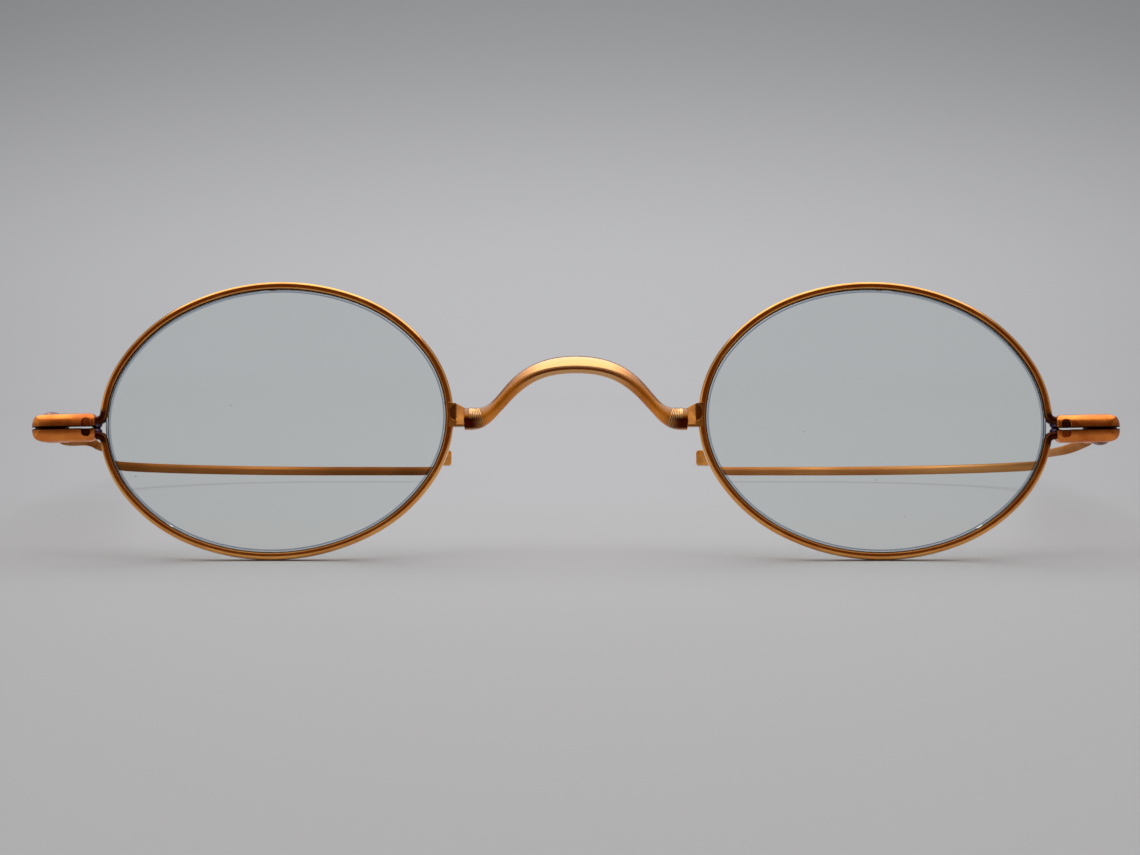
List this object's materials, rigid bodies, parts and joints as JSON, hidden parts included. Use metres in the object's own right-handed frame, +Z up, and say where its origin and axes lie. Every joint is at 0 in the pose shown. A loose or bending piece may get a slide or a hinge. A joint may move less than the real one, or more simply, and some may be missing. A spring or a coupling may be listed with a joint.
{
  "type": "reading glasses",
  "caption": "Oval wire-rimmed reading glasses with a saddle bridge, split end pieces closed by hinge screws, and folding wire temples that hook behind the ears.",
  "frame": {"origin": "centre of the bounding box at the plane that the glasses stand on, open", "axes": "+X towards the viewer's right when facing the lenses, +Y from the lenses back along the temples, +Z up"},
  "size_m": [0.1424, 0.1388, 0.0302],
  "materials": {
    "rim_wire": "polished gold-filled wire, rubbed in use",
    "lens_glass": "clear polished spectacle glass",
    "bridge_wire": "polished gold-filled wire, turned at the ends",
    "bridge_foot_metal": "polished gold-filled stamping",
    "endpiece_metal": "polished gold-filled stamping, worn at the edges",
    "screw_metal": "turned plated steel look, tarnished",
    "temple_wire": "drawn gold-filled wire",
    "lug_metal": "soldered gold-filled joint",
    "tip_metal": "flattened and rounded gold-filled tip"
  },
  "bodies": {
    "front": {"rim_left": "rim_wire", "rim_right": "rim_wire", "lens_left": "lens_glass", "lens_right": "lens_glass", "bridge": "bridge_wire", "bridge_foot_left": "bridge_foot_metal", "bridge_foot_right": "bridge_foot_metal", "endpiece_upper_left": "endpiece_metal", "endpiece_lower_left": "endpiece_metal", "endpiece_upper_right": "endpiece_metal", "endpiece_lower_right": "endpiece_metal", "hinge_screw_left": "screw_metal", "hinge_screw_right": "screw_metal"},
    "temple_left_arm": {"temple_left": "temple_wire", "temple_lug_left": "lug_metal", "temple_tip_left": "tip_metal"},
    "temple_right_arm": {"temple_right": "temple_wire", "temple_lug_right": "lug_metal", "temple_tip_right": "tip_metal"}
  },
  "joints": [
    {"name": "hinge_right", "type": "hinge", "parent": "front", "child": "temple_right_arm", "pos_m": [0.05735, -0.06587, 0.01417], "axis": [-0.0192, 0.0948, 0.9953], "range_deg": [0, 90]},
    {"name": "hinge_left", "type": "hinge", "parent": "front", "child": "temple_left_arm", "pos_m": [-0.05735, -0.06587, 0.01417], "axis": [0.0192, -0.0948, -0.9953], "range_deg": [0, 90]}
  ]
}
